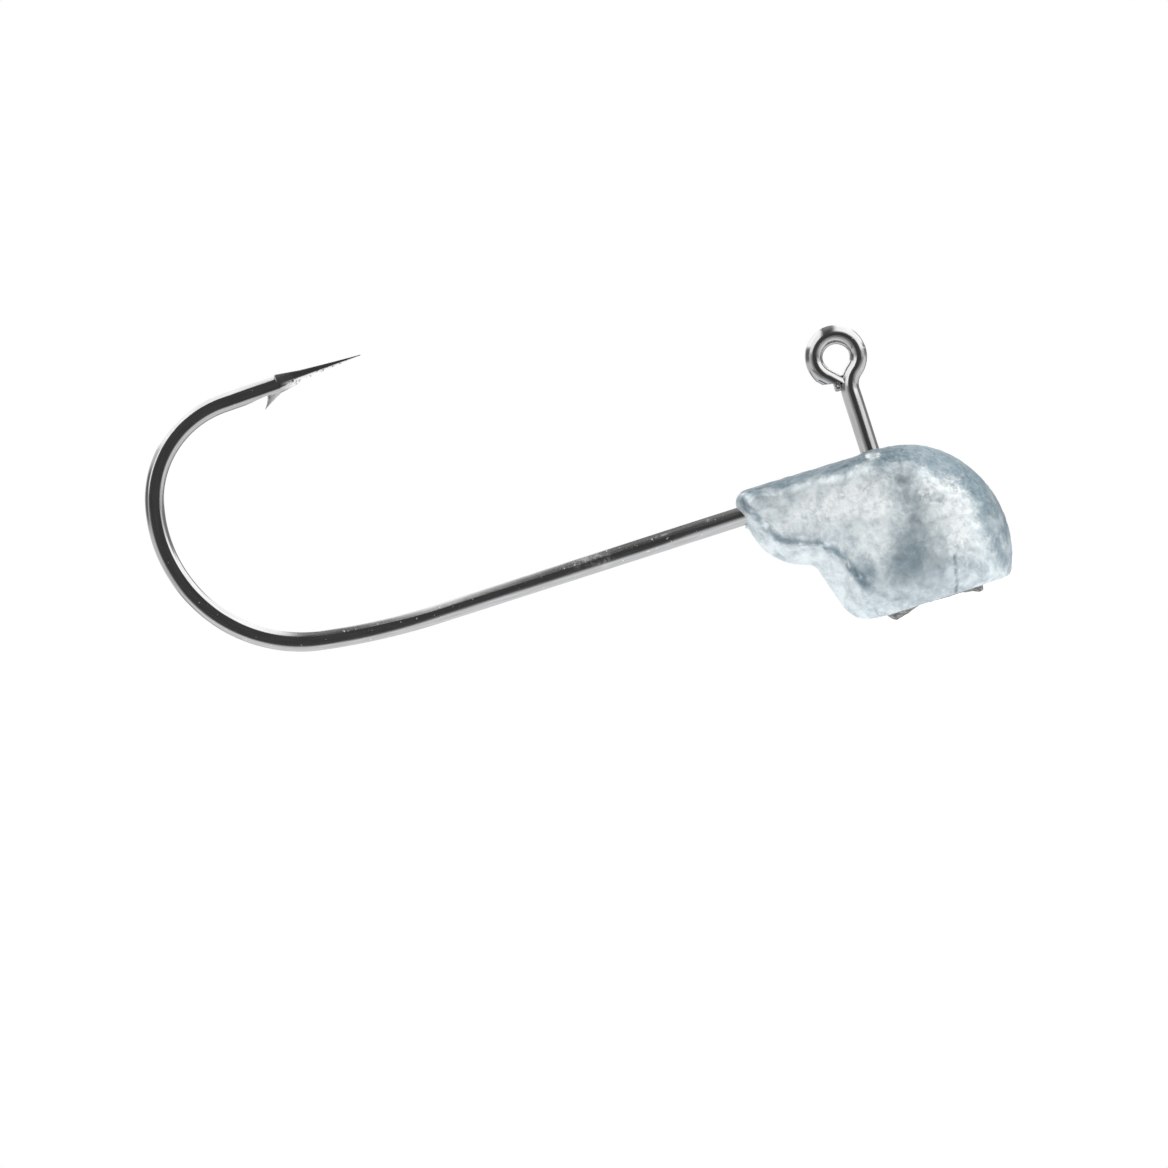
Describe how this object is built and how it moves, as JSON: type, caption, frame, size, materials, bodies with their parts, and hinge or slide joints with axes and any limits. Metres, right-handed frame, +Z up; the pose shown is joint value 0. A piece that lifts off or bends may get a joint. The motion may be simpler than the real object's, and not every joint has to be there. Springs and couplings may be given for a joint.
{
  "type": "jig head",
  "caption": "Stand-up fishing jig head: flat-bottomed lead head with integral bait keeper, cast around a 90 degree round-bend jig hook with an upright line eye.",
  "frame": {"origin": "the corner inside the lead where the straight axis of the hook's shank crosses the axis of its eye stem", "axes": "+X along the shank and out of the nose, +Z up the stem through the line eye, +Y across the head; the hook and the casting's parting line lie in the XZ plane"},
  "size_m": [0.0379, 0.0054, 0.0197],
  "materials": {
    "hook_steel": "bright dark nickel plating over drawn steel wire",
    "lead": "bare cast lead alloy, satin blue-grey, mottled"
  },
  "bodies": {
    "root": {"hook": "hook_steel", "lead_head": "lead"}
  },
  "joints": []
}
